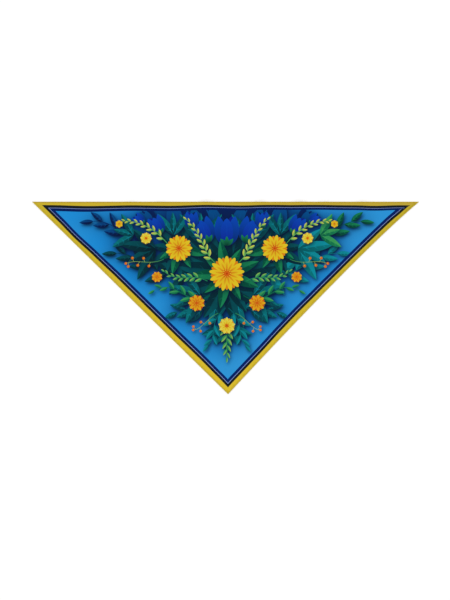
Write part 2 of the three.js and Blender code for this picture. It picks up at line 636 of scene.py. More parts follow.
@dataclass(frozen=True)
class Vine(Motif):
    """A curved stem with leaves in pairs, smaller towards its tip."""

    path: tuple[tuple[float, float], ...]
    kind: Leafage
    leaf: tuple[float, float]
    pairs: int
    spread: float = 48.0
    stem: float = 2.6
    taper: float = 0.45
    bare: float = 0.12
    curl: float = 0.12
    stagger: float = 0.5
    closing: float = 0.3
    stem_taper: float = 0.35
    samples: int = 61

    def shapes(self) -> list[Shape]:
        """Returns the leaves and then the stem over their feet."""
        look: Foliage = self.kind.value
        line = bezier(self.path, self.samples)
        slope = np.gradient(line, axis=0)
        drawn: list[Shape] = []
        for k in range(self.pairs):
            for side in (1, -1):
                step = k + (self.stagger if side > 0 else 0)
                share = self.bare + (1 - self.bare) * step / self.pairs
                place = int(round(share * (self.samples - 1)))
                heading = math.degrees(math.atan2(slope[place, 1], slope[place, 0]))
                size = 1 - self.taper * share
                turn = heading + side * self.spread * (1 - self.closing * share)
                form = (self.leaf[0] * size, self.leaf[1] * size, self.kind, -side * self.curl)
                drawn += Leaf(line[place], turn, *form).shapes()
        heading = math.degrees(math.atan2(slope[-1, 1], slope[-1, 0]))
        end = 1 - self.taper
        tip = Leaf(line[-1], heading, self.leaf[0] * end, self.leaf[1] * end, self.kind)
        drawn += tip.shapes()
        widths = (self.stem, self.stem * self.stem_taper)
        drawn.append(stroke(line[::3], *widths, look.shaded, look.lit))
        return drawn


@dataclass(frozen=True)
class Blush:
    """The inks of a flower's petals."""

    throat: Ink
    foot: Ink
    tip: Ink
    behind: Ink


class Bloom(Enum):
    """The colours that the flowers come in."""

    YELLOW = Blush(throat=Ink.TANGERINE, foot=Ink.YOLK, tip=Ink.SUN, behind=Ink.AMBER)
    LEMON = Blush(throat=Ink.AMBER, foot=Ink.SUN, tip=Ink.LEMON, behind=Ink.YOLK)
    ORANGE = Blush(throat=Ink.EMBER, foot=Ink.AMBER, tip=Ink.YOLK, behind=Ink.TANGERINE)


@dataclass(frozen=True)
class PetalRing:
    """A daisy's ring of petals: its reach in radii, its offset in petals, and their breadth."""

    reach: float
    offset: float
    breadth: float


@dataclass(frozen=True)
class Daisy(Motif):
    """An open flower: two rings of narrow petals, and their throats, about a seeded heart."""

    at: tuple[float, float]
    radius: float
    petals: int
    colour: Bloom = Bloom.YELLOW
    turn: float = 0.0
    heart: float = 0.2
    back: PetalRing = PetalRing(reach=0.92, offset=0.5, breadth=0.9)
    front: PetalRing = PetalRing(reach=1.0, offset=0.0, breadth=0.86)
    throats: PetalRing = PetalRing(reach=0.66, offset=0.0, breadth=0.42)
    crowded_at: float = 0.66
    seed_pitch: float = 4.0
    fewest_seeds: int = 6

    def ring(self, ring: PetalRing, foot: Ink, tip: Ink) -> list[Shape]:
        """Draws one ring of petals.

        Args:
            ring: The ring. Its petals' breadth is a share of their spacing.
            foot: The ink at the petals' feet.
            tip: The ink at their tips.

        Returns:
            The petals.
        """
        length = self.radius * ring.reach
        width = ring.breadth * 2 * math.pi * length * self.crowded_at / self.petals
        form = {"fullest": 0.62, "bluntness": 0.5}
        turns = [self.turn + 360 * (k + ring.offset) / self.petals for k in range(self.petals)]
        return [blade(self.at, turn, length, width, foot, tip, **form) for turn in turns]

    def shapes(self) -> list[Shape]:
        """Returns the petals, their throats, the heart, its seeds and its middle."""
        inks: Blush = self.colour.value
        drawn = self.ring(self.back, inks.throat, inks.behind)
        drawn += self.ring(self.front, inks.foot, inks.tip)
        drawn += self.ring(self.throats, inks.throat, inks.foot)
        # The sizes of the heart's discs are shares of its own, from its rim to its middle.
        heart = self.radius * self.heart
        drawn.append(disc(self.at, heart * 1.2, Ink.EMBER, Ink.TANGERINE, 18))
        drawn.append(disc(self.at, heart * 0.86, Ink.AMBER, Ink.TANGERINE, 16))
        seeds = max(self.fewest_seeds, round(self.radius / self.seed_pitch))
        for k in range(seeds):
            angle = 2 * math.pi * k / seeds
            spot = np.array([math.cos(angle), math.sin(angle)]) * heart + self.at
            drawn.append(disc(spot, self.radius * 0.026 + 0.25, Ink.LEMON, Ink.SUN, 8))
        drawn.append(disc(self.at, heart * 0.4, Ink.EMBER, Ink.TANGERINE, 12))
        return drawn


@dataclass(frozen=True)
class Petal:
    """A tulip's petal, in shares of the flower's height, with its swing in degrees."""

    swing: float
    length: float
    width: float
    bend: float


class Cup(Enum):
    """The colours that tulips come in: each petal's inks at foot and tip, from the back."""

    COBALT = (
        (Ink.MIDNIGHT, Ink.NIGHT),
        (Ink.MIDNIGHT, Ink.COBALT),
        (Ink.NIGHT, Ink.ROYAL),
        (Ink.NIGHT, Ink.ROYAL),
        (Ink.COBALT, Ink.ROYAL),
    )
    AZURE = (
        (Ink.MIDNIGHT, Ink.NIGHT),
        (Ink.MIDNIGHT, Ink.NIGHT),
        (Ink.MIDNIGHT, Ink.NIGHT),
        (Ink.NIGHT, Ink.DEEP_AZURE),
        (Ink.NIGHT, Ink.DEEP_AZURE),
    )


@dataclass(frozen=True)
class Tulip(Motif):
    """A blue blossom seen from the side: five petals out of a green cup."""

    at: tuple[float, float]
    turn: float
    height: float
    colour: Cup = Cup.COBALT
    petals: tuple[Petal, ...] = (
        Petal(swing=10, length=0.94, width=0.34, bend=0.0),
        Petal(swing=-10, length=0.94, width=0.34, bend=0.0),
        Petal(swing=33, length=0.92, width=0.4, bend=-0.3),
        Petal(swing=-33, length=0.92, width=0.4, bend=0.3),
        Petal(swing=0, length=0.86, width=0.4, bend=0.0),
    )
    midline: Petal = Petal(swing=0, length=0.7, width=0.04, bend=0.0)
    sepals: tuple[Petal, ...] = tuple(
        Petal(swing=swing, length=0.3, width=0.13, bend=0.0) for swing in (42, -42, 0)
    )

    def shape_of(self, petal: Petal, near: Ink, far: Ink, **form: float) -> Shape:
        """Draws a petal at the flower's own size, from its inks at foot and tip."""
        size = (self.turn + petal.swing, self.height * petal.length, self.height * petal.width)
        return blade(self.at, *size, near, far, bend=petal.bend, **form)

    def shapes(self) -> list[Shape]:
        """Returns the petals, back to front, the front one's midline and the cup."""
        dyed = zip(self.petals, self.colour.value)
        drawn = [self.shape_of(petal, *inks, fullest=0.5, bluntness=0.45) for petal, inks in dyed]
        drawn.append(self.shape_of(self.midline, *self.colour.value[-1]))
        drawn += [self.shape_of(sepal, Ink.PINE, Ink.EMERALD) for sepal in self.sepals]
        return drawn


@dataclass(frozen=True)
class BerrySpray(Motif):
    """A thin stem with berries on short stalks."""

    path: tuple[tuple[float, float], ...]
    berries: int
    radius: float
    rind: Ink = Ink.TANGERINE
    shine: Ink = Ink.AMBER
    bare: float = 0.25
    stem_widths: tuple[float, float] = (1.5, 0.8)
    stalk: float = 2.6
    stalk_widths: tuple[float, float] = (0.9, 0.7)
    glint: float = 0.24
    samples: int = 41

    def shapes(self) -> list[Shape]:
        """Returns the stem, the stalks and the berries."""
        line = bezier(self.path, self.samples)
        slope, left = headings(line)
        drawn = [stroke(line[::2], *self.stem_widths, Ink.EMERALD, Ink.LIME)]
        spots = []
        for k in range(self.berries):
            share = self.bare + (1 - self.bare) * (k + 0.5) / self.berries
            place = int(round((self.samples - 1) * share))
            side = 1 if k % 2 else -1
            away = left[place] * side * self.radius * self.stalk
            spot = line[place] + away + slope[place] * self.radius
            stalk = np.array([line[place], spot])
            drawn.append(stroke(stalk, *self.stalk_widths, Ink.LIME, Ink.LIME))
            spots.append(spot)
        spots.append(line[-1])
        for spot in spots:
            drawn.append(disc(spot, self.radius, self.shine, self.rind, 12))
            glint = spot + self.radius * np.array([-0.3, 0.3])
            drawn.append(disc(glint, self.radius * self.glint, Ink.LEMON, Ink.LEMON, 6))
        return drawn


@dataclass(frozen=True)
class Fan(Motif):
    """Leaves that radiate from one place."""

    at: tuple[float, float]
    first: float
    last: float
    leaves: int
    leaf: tuple[float, float]
    kind: Leafage
    shorter: float = 0.16

    def shapes(self) -> list[Shape]:
        """Returns the leaves, every second one shorter."""
        length, width = self.leaf
        drawn = []
        for k in range(self.leaves):
            turn = self.first + (self.last - self.first) * k / max(1, self.leaves - 1)
            size = 1 - self.shorter * (k % 2)
            drawn += Leaf(self.at, turn, length * size, width * size, self.kind).shapes()
        return drawn


@dataclass(frozen=True)
class WidthAt:
    """How wide a band is at a place along its edge, as a share of the edge's length."""

    at: float
    width: float


Widths = tuple[WidthAt, ...]


def width_at(rows: Widths, places: Points) -> Points:
    """Reads a table of widths, with an easy passage from row to row.

    Args:
        rows: The table.
        places: Shares of the edge's length.

    Returns:
        The width at each of them.
    """
    stops = np.array([row.at for row in rows])
    widths = np.array([row.width for row in rows])
    k = np.clip(np.searchsorted(stops, places, side="right") - 1, 0, len(rows) - 2)
    part = np.clip((places - stops[k]) / (stops[k + 1] - stops[k]), 0, 1)
    ease = part * part * (3 - 2 * part)
    return widths[k] * (1 - ease) + widths[k + 1] * ease


def widths(*rows: tuple[float, float]) -> Widths:
    """Makes a table of widths, with a place and the width there in each row."""
    return tuple(WidthAt(*row) for row in rows)


def even(width: float) -> Widths:
    """Returns the table of a band that is equally wide all along."""
    return widths((0.0, width), (1.0, width))


@dataclass(frozen=True)
class Trim:
    """The bands along one edge, from the outside in.

    Its yellows are those at the edge's start and end. The places in its tables of widths run
    from the left tip, or on the right leg from the right tip. Where that is the edge's end, the
    trim is flipped.
    """

    yellows: tuple[Ink, Ink]
    lines: tuple[Ink, ...]
    bands: tuple[Widths, ...]
    flipped: bool = False

    def inset(self, count: int, shares: Points) -> Points:
        """Adds up the widths of the first bands.

        Args:
            count: How many bands.
            shares: Shares of the edge's length from its start.

        Returns:
            The width of them all at each share.
        """
        places = 1 - shares if self.flipped else shares
        return np.sum([width_at(rows, places) for rows in self.bands[:count]], axis=0)


@dataclass(frozen=True)
class Border:
    """The printed border: a yellow band, then black, lilac and navy lines, mitred at the tips."""

    outline: Outline
    left: Trim = Trim(
        yellows=(Ink.YELLOW_LEFT_TIP, Ink.YELLOW_POINT),
        lines=(Ink.BORDER_BLACK, Ink.BORDER_LILAC, Ink.BORDER_NAVY),
        bands=(
            widths(
                (0.0, 11.0), (0.12, 10.4), (0.2, 9.1), (0.3, 11.0), (0.42, 12.3),
                (0.7, 12.2), (0.84, 13.1), (0.93, 12.4), (1.0, 11.2),
            ),
            even(6.0),
            widths((0.0, 0.85), (0.35, 0.9), (0.65, 1.1), (1.0, 1.05)),
            widths((0.0, 6.0), (0.3, 6.0), (0.5, 6.3), (1.0, 6.2)),
        ),
    )
    right: Trim = Trim(
        yellows=(Ink.YELLOW_POINT, Ink.YELLOW_RIGHT_TIP),
        lines=(Ink.BORDER_BLACK, Ink.BORDER_LILAC, Ink.BORDER_NAVY),
        bands=(
            widths(
                (0.0, 8.2), (0.07, 8.6), (0.13, 9.8), (0.3, 9.7), (0.4, 9.9),
                (0.5, 10.6), (0.61, 11.8), (0.7, 11.8), (0.8, 10.7), (1.0, 11.2),
            ),
            even(5.9),
            widths((0.0, 0.85), (0.2, 0.9), (0.35, 1.05), (1.0, 1.08)),
            even(6.75),
        ),
        flipped=True,
    )
    top: Trim = Trim(
        yellows=(Ink.YELLOW_TOP_RIGHT, Ink.YELLOW_TOP_LEFT),
        lines=(Ink.BORDER_BLACK, Ink.BORDER_LILAC, Ink.BORDER_NAVY_TOP),
        bands=(
            widths(
                (0.0, 7.4), (0.047, 7.9), (0.145, 10.1), (0.26, 8.5), (0.353, 9.5),
                (0.45, 7.5), (0.54, 8.7), (0.62, 7.3), (0.68, 7.9), (0.72, 7.4),
                (0.825, 8.4), (0.887, 9.7), (0.95, 8.3), (1.0, 8.7),
            ),
            widths((0.05, 6.4), (0.35, 6.1), (0.47, 5.5), (1.0, 5.7)),
            widths((0.0, 0.85), (0.6, 0.8), (1.0, 0.65)),
            widths((0.1, 6.8), (0.2, 6.3), (0.4, 5.9), (0.6, 5.3), (1.0, 5.0)),
        ),
        flipped=True,
    )

    def insets(self, count: int) -> dict[str, Inset]:
        """Works out, for each edge, how far in its first bands reach.

        Args:
            count: How many bands.

        Returns:
            For each edge, the inset at each share of its length.
        """
        if count == 0:
            return self.outline.even_insets(0.0)
        trims = {"left": self.left, "right": self.right, "top": self.top}
        return {name: partial(trim.inset, count) for name, trim in trims.items()}

    def shapes(self) -> list[Shape]:
        """Returns the bands' strips, each mitred at both ends."""
        drawn = []
        for edge, trim in zip(self.outline.edges, (self.left, self.right, self.top)):
            start = self.outline.corners[edge.start]
            chord = self.outline.corners[edge.end] - start
            dyes = [trim.yellows] + [(ink, ink) for ink in trim.lines]
            for k, inks in enumerate(dyes):
                outer = self.outline.line(edge, self.insets(k))
                inner = self.outline.line(edge, self.insets(k + 1))
                drawn.append(Shape(np.vstack([outer, inner[::-1]]), *inks, start, chord))
        return drawn


@dataclass(frozen=True)
class Layer:
    """One level of the bouquet: motifs on both sides, on the axis, and on one side alone."""

    paired: tuple[Motif, ...]
    lone: tuple[Motif, ...] = ()
    left: tuple[Motif, ...] = ()
    right: tuple[Motif, ...] = ()


@dataclass(frozen=True)
class Bouquet:
    """The printed flowers, the same on both sides of an axis but for the kind of some leaves."""

    axis: float = 3.0

    def vine(self, *path: float, stem: float = 2.4, **form: Any) -> Vine:
        """Places a vine, from X off the axis and Y for each control point of its path."""
        controls = tuple((self.axis + path[k], path[k + 1]) for k in range(0, len(path), 2))
        return Vine(controls, stem=stem, **form)

    def outer_vines(self, first: Leafage, second: Leafage) -> tuple[Motif, ...]:
        """Places the two vines that reach furthest out on one side, with their leaves."""
        tips = (150, 120, 230, 100, 250, 190, 318, 182)
        sides = (80, 70, 150, 20, 200, 110, 262, 106)
        return (
            self.vine(*tips, kind=first, leaf=(60, 21), pairs=4),
            self.vine(*sides, kind=second, leaf=(64, 22), pairs=4),
        )

    def outer_fans(self, first: Leafage, second: Leafage) -> tuple[Motif, ...]:
        """Places the two fans that stand furthest out on one side, with their leaves."""
        return (
            Fan((self.axis + 170, 118), -60, 40, 4, (86, 25), first),
            Fan((self.axis + 222, 150), -30, 60, 3, (58, 18), second),
        )

    def layers(self) -> tuple[Layer, ...]:
        """Returns the bouquet's layers, back to front."""
        x = self.axis
        vine = self.vine
        fern = partial(self.vine, stem=1.7)
        dusk, deep, lagoon = Leafage.DUSK, Leafage.DEEP, Leafage.LAGOON
        pine, green = Leafage.PINE, Leafage.GREEN
        bright, lime = Leafage.BRIGHT, Leafage.LIME
        shade = Layer(
            (
                vine(10, 0, 60, -50, 70, -10, 118, -34, kind=deep, leaf=(62, 23), pairs=3),
                Fan((x + 116, 116), -100, 220, 10, (76, 25), dusk),
                Tulip((x + 22, 140), 80, 92, Cup.AZURE),
                Tulip((x + 62, 146), 74, 82, Cup.AZURE),
                Tulip((x + 116, 160), 86, 66, Cup.AZURE),
                Tulip((x + 178, 166), 70, 50, Cup.AZURE),
            ),
            (
                Fan((x, 60), 8, 172, 11, (124, 34), dusk),
                Fan((x, 40), 194, 346, 8, (104, 32), dusk),
            ),
            left=self.outer_vines(Leafage.SHADOW, dusk),
            right=self.outer_vines(pine, lagoon),
        )
        leaves = Layer(
            (
                Fan((x + 62, 130), 54, 126, 3, (86, 22), deep),
                Fan((x + 126, 150), 52, 122, 3, (64, 18), deep),
                Tulip((x + 42, 132), 68, 66),
                Tulip((x + 84, 164), 90, 44),
                Tulip((x + 156, 152), 64, 50),
                Tulip((x + 196, 176), 40, 34),
                Fan((x + 64, 8), -64, 54, 4, (76, 23), deep),
                Fan((x + 112, 120), 196, 330, 4, (66, 21), pine),
            ),
            (
                Tulip((x, 124), 90, 76),
                Fan((x, 56), 22, 338, 9, (82, 25), pine),
                Fan((x, -70), 196, 344, 5, (62, 21), deep),
            ),
            left=self.outer_fans(dusk, deep),
            right=self.outer_fans(lagoon, green),
        )
        sprays = Layer(
            (
                vine(4, -24, 46, -60, 20, -84, 44, -112, kind=lagoon, leaf=(38, 14), pairs=3),
                vine(40, 6, 90, -30, 120, 50, 172, 18, kind=green, leaf=(32, 12), pairs=4),
                fern(28, 84, 58, 108, 58, 154, 96, 186, kind=lime, leaf=(19, 8), pairs=7),
                fern(140, 128, 172, 166, 210, 186, 250, 182, kind=lime, leaf=(17, 7), pairs=7),
                fern(46, 40, 86, 62, 110, 32, 148, 62, kind=bright, leaf=(19, 8), pairs=6),
                BerrySpray(((x + 150, 92), (x + 186, 76), (x + 210, 94), (x + 240, 82)), 5, 3.4),
                BerrySpray(((x + 20, -36), (x + 46, -46), (x + 60, -76), (x + 80, -76)), 4, 3.2),
            ),
            (vine(0, -60, 0, -90, 0, -110, 0, -140, kind=bright, leaf=(26, 9), pairs=4),),
        )
        blooms = Layer(
            (
                Daisy((x + 114, 118), 32, 11, turn=15),
                Daisy((x + 72, -12), 20, 9, Bloom.ORANGE, turn=40),
                Daisy((x + 192, 142), 14, 8, Bloom.LEMON, turn=5),
                Daisy((x + 166, 50), 13, 8, Bloom.ORANGE, turn=20),
                Daisy((x + 256, 176), 9, 6, turn=30),
            ),
            (
                Daisy((x, 58), 42, 13, turn=90),
                Daisy((x, -66), 20, 9, Bloom.LEMON, turn=90),
            ),
        )
        return (shade, leaves, sprays, blooms)

    def shapes(self) -> list[Shape]:
        """Returns every motif's shapes, back to front, with their mirror images."""
        drawn: list[Shape] = []
        for level, layer in enumerate(self.layers()):
            for motif in layer.left + layer.paired:
                drawn += [replace(s, level=level).mirrored(self.axis) for s in motif.shapes()]
            for motif in layer.right + layer.paired + layer.lone:
                drawn += [replace(s, level=level) for s in motif.shapes()]
        return drawn


@dataclass(frozen=True)
class Mask:
    """A soft-edged record of where shapes are, on a grid over the cloth."""

    values: Points
    low: Points
    step: float

    @classmethod
    def of(cls, shapes: Iterable[Shape], low: Points, high: Points, step: float) -> "Mask":
        """Marks the cells that shapes cover.

        Args:
            shapes: The shapes.
            low: The grid's lowest corner.
            high: Its highest corner.
            step: The size of a cell.

        Returns:
            The mask, 1 where a shape is and 0 elsewhere.
        """
        across, up = np.ceil((high - low) / step).astype(int)
        values = np.zeros((up, across))
        for shape in shapes:
            ring = (shape.outline - low) / step
            first = np.maximum(np.floor(ring.min(0)).astype(int), 0)
            last = np.minimum(np.ceil(ring.max(0)).astype(int), [across, up])
            if (last <= first).any():
                continue
            columns, rows = (np.arange(*ends) + 0.5 for ends in zip(first, last))
            x, y = np.meshgrid(columns, rows)
            following = np.roll(ring, -1, axis=0)
            inside = np.zeros(x.shape, bool)
            for (ax, ay), (bx, by) in zip(ring, following):
                if ay != by:
                    crosses = ((ay > y) != (by > y)) & (x < (bx - ax) * (y - ay) / (by - ay) + ax)
                    inside ^= crosses
            block = values[first[1] : last[1], first[0] : last[0]]
            block[inside] = 1
        return cls(values, low, step)

    def blurred(self, radius: float) -> "Mask":
        """Softens the mask.

        Args:
            radius: The blur's radius.

        Returns:
            The softened mask.
        """
        height, width = self.values.shape
        fy = np.fft.fftfreq(height)[:, None]
        fx = np.fft.rfftfreq(width)[None, :]
        fade = np.exp(-2 * (math.pi * radius / self.step) ** 2 * (fx * fx + fy * fy))
        soft = np.fft.irfft2(np.fft.rfft2(self.values) * fade, self.values.shape)
        return replace(self, values=np.clip(soft, 0, 1))

    def at(self, points: Points) -> Points:
        """Reads the mask.

        Args:
            points: Points of the plan.

        Returns:
            Its value at each of them.
        """
        height, width = self.values.shape
        cells = (points - self.low) / self.step - 0.5
        cells = np.clip(cells, 0, [width - 1.001, height - 1.001])
        corner = np.floor(cells).astype(int)
        fx, fy = (cells - corner).T
        x, y = corner.T
        lower = self.values[y, x] * (1 - fx) + self.values[y, x + 1] * fx
        upper = self.values[y + 1, x] * (1 - fx) + self.values[y + 1, x + 1] * fx
        return lower * (1 - fy) + upper * fy


def blend(first: Points, second: Points, share: Points) -> Points:
    """Mixes colours by rows: all of the first where the share is 0, of the second where it is 1."""
    part = np.clip(share, 0, 1)[:, None]
    return first * (1 - part) + second * part


@dataclass(frozen=True)
class Ground:
    """The blue that the flowers stand on: azure at the tips, deep behind the bouquet."""

    outline: Outline
    pool: Mask
    least_light: float = 0.35
    paler_right: float = 0.15
    paler_tips: float = 0.3
    paler_point: float = 0.65
    cloudiness: float = 0.15
    crown_width: float = 0.62
    crown_depth: float = 0.8

    def colours(self, points: Points) -> Points:
        """Works out the ground's colour.

        Args:
            points: Points of the plan.

        Returns:
            The linear colour at each of them.
        """
        x, y = points.T
        span = self.outline.long_edge / 2
        drop = self.outline.depth / 2
        # Slow clouds, their lengths in millimetres chosen so that they don't repeat.
        cloud = np.sin(x / 37 + 1.3 * np.sin(y / 43)) * np.sin(y / 31 - x / 90)
        sideways = (self.paler_right * x + self.paler_tips * np.abs(x)) / span
        paler = sideways + self.paler_point * np.maximum(0, -y / drop)
        light = self.least_light + paler + self.cloudiness * cloud
        tone = blend(Ink.AZURE.linear(), Ink.SKY.linear(), light)
        # Behind the bouquet and its crown the azure deepens, and then turns to night.
        crown = bump(x / (self.crown_width * span)) * bump((drop - y) / (self.crown_depth * drop))
        deep = self.pool.at(points)
        tone = blend(tone, Ink.DEEP_AZURE.linear(), 1.5 * deep + 0.9 * crown)
        return blend(tone, Ink.NIGHT.linear(), 1.4 * (deep - 0.5) + 1.1 * crown)


class Print:
    """The whole print: which shape is on top at each place, and its colour there."""

    # How far the printed shadows fall, in millimetres, and the grid that holds them.
    FALL = (3.0, -4.5)
    GRID_STEP = 2.0
    GRID_MARGIN = 10.0
    # How soft they are, how deep on the ground and on each layer, and how soft the pool is.
    SHADOW_BLUR = 3.4
    SHADOW_DEPTHS = (1.05, 0.95, 0.9, 0.9)
    POOL_BLUR = 18.0
    # Points of the face or the back that are closer than this, in millimetres, are one.
    FACE_WELD = 1e-4
    BACK_WELD = 1e-5

    def __init__(self, outline: Outline) -> None:
        """Draws the bouquet and the border.

        Args:
            outline: The cloth's outline.
        """
        flowers = Bouquet().shapes()
        self.shapes = flowers + Border(outline).shapes()
        self.levels = np.array([shape.level for shape in self.shapes] + [-1])
        loop = outline.loop(0)
        grid = (loop.min(0) - self.GRID_MARGIN, loop.max(0) + self.GRID_MARGIN, self.GRID_STEP)
        self.shadows: list[Mask] = []
        above: Mask | None = None
        for level in range(self.levels.max(), -1, -1):
            mask = Mask.of([shape for shape in flowers if shape.level == level], *grid)
            if above is not None:
                mask = replace(mask, values=np.maximum(mask.values, above.values))
            above = mask
            self.shadows.insert(0, mask.blurred(self.SHADOW_BLUR))
        self.ground = Ground(outline, above.blurred(self.POOL_BLUR))

    def divide(self, rim: Points, filling: Points) -> tuple[Points, Points, Points]:
        """Divides the cloth into triangles that follow every printed outline.

        Args:
            rim: The cloth's edge, anticlockwise.
            filling: Points to have in between.

        Returns:
            The points, the triangles and each triangle's shape, which is -1 on bare ground.
        """
        rings = [rim] + [shape.outline for shape in self.shapes]
        corners: list[Points] = []
        faces: list[list[int]] = []
        count = 0
        for ring in rings:
            x, y = ring.T
            turning = np.sum(x * np.roll(y, -1) - y * np.roll(x, -1))
            corners.append(ring if turning > 0 else ring[::-1])
            faces.append(list(range(count, count + len(ring))))
            count += len(ring)
        points = np.vstack(corners + [filling])
        result = delaunay_2d_cdt([Vector(p) for p in points.tolist()], [], faces, 0, self.FACE_WELD)
        found, _, triangles, _, _, owners = result
        kept = [k for k, owner in enumerate(owners) if 0 in owner]
        top = [max(owners[k]) - 1 for k in kept]
        return (
            np.array([tuple(p) for p in found]),
            np.array([triangles[k] for k in kept]),
            np.array(top),
        )

    def colours(self, points: Points, owners: Points) -> Points:
        """Works out the print's colour.

        Args:
            points: Points of the plan.
            owners: Each point's shape, or -1 on bare ground.

        Returns:
            The linear colour at each of them.
        """
        shapes = self.shapes
        near = np.array([shape.near.linear() for shape in shapes])[owners]
        far = np.array([shape.far.linear() for shape in shapes])[owners]
        foot = np.array([shape.foot for shape in shapes])[owners]
        reach = np.array([shape.reach for shape in shapes])[owners]
        radial = np.array([shape.radial for shape in shapes])[owners]
        away = points - foot
        length = np.linalg.norm(reach, axis=1)
        straight = np.sum(away * reach, axis=1) / length**2
        share = np.where(radial, np.linalg.norm(away, axis=1) / length, straight)
        dyed = blend(near, far, share)
        bare = owners < 0
        colours = np.where(bare[:, None], self.ground.colours(points), dyed)
        level = np.where(bare, -1, self.levels[owners])
        night = Ink.MIDNIGHT.linear()
        for below, (mask, depth) in enumerate(zip(self.shadows, self.SHADOW_DEPTHS), -1):
            shaded = (level == below) & (bare if below < 0 else ~bare)
            places = points[shaded] - self.FALL
            colours[shaded] = blend(colours[shaded], night, depth * mask.at(places))
        return colours

    def plain(self, ring: Points, filling: Points) -> tuple[Points, Points, Points]:
        """Divides the cloth into even triangles, without the print's outlines.

        Args:
            ring: The cloth's edge, anticlockwise.
            filling: Points to have in between.

        Returns:
            The points, the triangles and the place of each point of the ring among the points.
        """
        corners = [Vector(p) for p in np.vstack([ring, filling]).tolist()]
        result = delaunay_2d_cdt(corners, [], [list(range(len(ring)))], 1, self.BACK_WELD)
        found, _, triangles, origins, _, _ = result
        places = np.zeros(len(ring), int)
        for k, origin in enumerate(origins):
            for corner in origin:
                if corner < len(ring):
                    places[corner] = k
        return np.array([tuple(p) for p in found]), np.array([list(t) for t in triangles]), places


# Finishes

EXPOSURE = 0.9  # darkens the inks by what the studio's light adds to them
RIB_PITCH = 0.0006  # metres
THREAD_HEIGHT = 0.0002  # metres
CLOTH_SPECULAR = 0.04


class Signal:
    """A number that a shader works out over a surface."""

    def __init__(self, recipe: "Recipe", socket: bpy.types.NodeSocket) -> None:
        """Wraps the socket that carries the number, and notes the material it belongs to."""
        self.recipe = recipe
        self.socket = socket

    def combined(self, operation: str, first: Any, second: Any) -> "Signal":
        """Joins two numbers with a Math node of the given operation."""
        return self.recipe.node("ShaderNodeMath", {"operation": operation}, {0: first, 1: second})

    def __add__(self, other: "Signal | float") -> "Signal":
        """Adds."""
        return self.combined("ADD", self, other)

    __radd__ = __add__

    def __mul__(self, other: "Signal | float") -> "Signal":
        """Multiplies."""
        return self.combined("MULTIPLY", self, other)

    __rmul__ = __mul__

    def __sub__(self, other: "Signal | float") -> "Signal":
        """Subtracts."""
        return self.combined("SUBTRACT", self, other)

    def __rsub__(self, other: "Signal | float") -> "Signal":
        """Subtracts from a number."""
        return self.combined("SUBTRACT", other, self)


class Recipe:
    """A node material under construction."""

    def __init__(self, name: str) -> None:
        """Starts a material with a bare surface shader.

        Args:
            name: The material's name.
        """
        self.material = bpy.data.materials.new(name)
        self.material.use_nodes = True
        self.tree = self.material.node_tree
        self.surface = self.tree.nodes["Principled BSDF"]

    def node(
        self,
        kind: str,
        settings: dict[str, Any],
        sockets: dict[str | int, Any],
        output: str | int = 0,
    ) -> Signal:
        """Adds a node.

        Args:
            kind: Its type.
            settings: Its own settings.
            sockets: What goes into its sockets: a value, or a signal to link.
            output: The output to return.

        Returns:
            The output as a signal.
        """
        made = self.tree.nodes.new(kind)
        for name, value in settings.items():
            setattr(made, name, value)
        for name, value in sockets.items():
            self.feed(self.find(made.inputs, name), value)
        return Signal(self, self.find(made.outputs, output))

    @staticmethod
    def find(sockets: Any, name: str | int) -> bpy.types.NodeSocket:
        """Finds a socket by its number or its identifier.

        Args:
            sockets: A node's inputs or outputs.
            name: The number or the identifier.

        Returns:
            The socket.
        """
        if isinstance(name, int):
            return sockets[name]
        return next(socket for socket in sockets if name in (socket.identifier, socket.name))

    def feed(self, socket: bpy.types.NodeSocket, value: Any) -> None:
        """Sets or links a socket.

        Args:
            socket: The input.
            value: A value, or a signal to link.
        """
        if isinstance(value, Signal):
            self.tree.links.new(value.socket, socket)
        else:
            socket.default_value = value

    def mixed(self, blend_type: str, share: Signal | float, first: Any, second: Any) -> Signal:
        """Mixes two colours.

        Args:
            blend_type: How, such as MIX or MULTIPLY.
            share: How much of the second.
            first: The first colour.
            second: The second colour.

        Returns:
            The mixed colour.
        """
        return self.node(
            "ShaderNodeMix",
            {"data_type": "RGBA", "blend_type": blend_type},
            {"Factor_Float": share, "A_Color": first, "B_Color": second},
            "Result_Color",
        )

    def noise(self, place: Signal, scale: float, detail: float = 2.0) -> Signal:
        """Adds a noise from 0 to 1, its scale per metre and its detail in finer layers."""
        sockets = {"Vector": place, "Scale": scale, "Detail": detail}
        return self.node("ShaderNodeTexNoise", {}, sockets, "Fac")

    def ribs(self, place: Signal, pitch: float) -> Signal:
        """Adds fine diagonal ribs, from 0 to 1.

        Args:
            place: The coordinates they are read at.
            pitch: From rib to rib, in metres.

        Returns:
            The ribs' height.
        """
        radians_per_unit = 10 * math.sqrt(2)
        return self.node(
            "ShaderNodeTexWave",
            {"bands_direction": "DIAGONAL"},
            {
                "Vector": place,
                "Scale": 2 * math.pi / pitch / radians_per_unit,
                "Distortion": 0.6,
                "Detail": 1.0,
            },
            "Fac",
        )

    def bumped(self, height: Signal, strength: float) -> Signal:
        """Turns the threads' height, from 0 to 1, into a normal."""
        sockets = {"Strength": strength, "Distance": THREAD_HEIGHT, "Height": height}
        return self.node("ShaderNodeBump", {}, sockets, "Normal")

    def place(self) -> Signal:
        """Returns the coordinates of the object itself, in metres."""
        return self.node("ShaderNodeTexCoord", {}, {}, "Object")

    def finish(self, **sockets: Any) -> bpy.types.Material:
        """Feeds the surface shader.

        Args:
            **sockets: What goes into its inputs, with _ for each space in their names.

        Returns:
            The finished material.
        """
        for name, value in sockets.items():
            self.feed(self.surface.inputs[name.replace("_", " ")], value)
        return self.material


